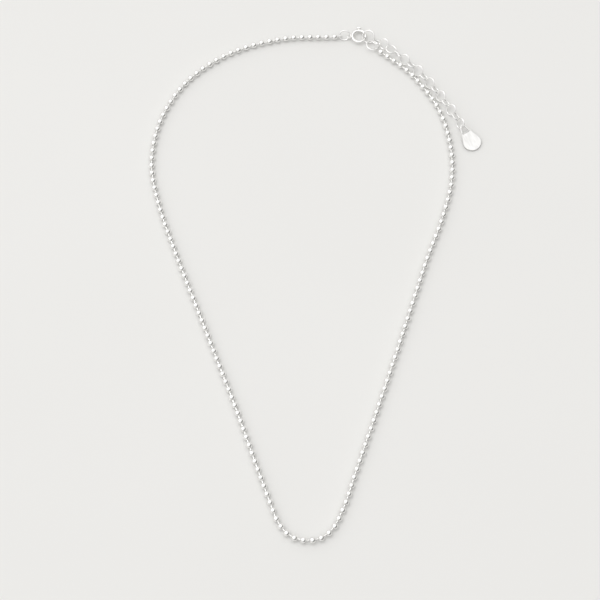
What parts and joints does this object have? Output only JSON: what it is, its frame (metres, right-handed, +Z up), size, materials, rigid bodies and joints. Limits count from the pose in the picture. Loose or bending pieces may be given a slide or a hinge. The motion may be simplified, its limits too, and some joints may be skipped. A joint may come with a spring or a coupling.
{
  "type": "ball chain necklace",
  "caption": "Silver ball chain necklace lying in a closed loop, with a spring ring clasp, an extender chain and a drop tag.",
  "frame": {"origin": "on the resting surface, under the middle of the necklace's outer box", "axes": "+Z up from the surface, +Y from the bottom of the loop towards the clasp, +X to the right as the picture shows it"},
  "size_m": [0.1152, 0.1904, 0.0039],
  "materials": {
    "balls": "polished silver",
    "rods": "polished silver",
    "clasp": "polished silver",
    "links": "polished silver",
    "tag": "satin silver"
  },
  "bodies": {
    "necklace": {"ball_chain": "balls", "chain_rod": "rods", "end_loop_near": "rods", "end_loop_far": "rods", "clasp_body": "clasp", "near_ring": "links", "hook_ring": "links", "far_ring": "links", "extender_link_1": "links", "extender_link_2": "links", "extender_link_3": "links", "extender_link_4": "links", "extender_link_5": "links", "extender_link_6": "links", "extender_link_7": "links", "extender_link_8": "links", "extender_link_9": "links", "extender_link_10": "links", "extender_link_11": "links", "extender_link_12": "links", "extender_link_13": "links", "extender_link_14": "links", "extender_link_15": "links", "tag": "tag"},
    "clasp_trigger": {"clasp_trigger": "clasp"}
  },
  "joints": [
    {"name": "trigger", "type": "hinge", "parent": "necklace", "child": "clasp_trigger", "pos_m": [0.01569, 0.09137, 0.0012], "axis": [0, 0, 1], "range_deg": [0, 46], "stiffness_Nm_per_rad": 0.003, "springref_deg": -17.19}
  ]
}
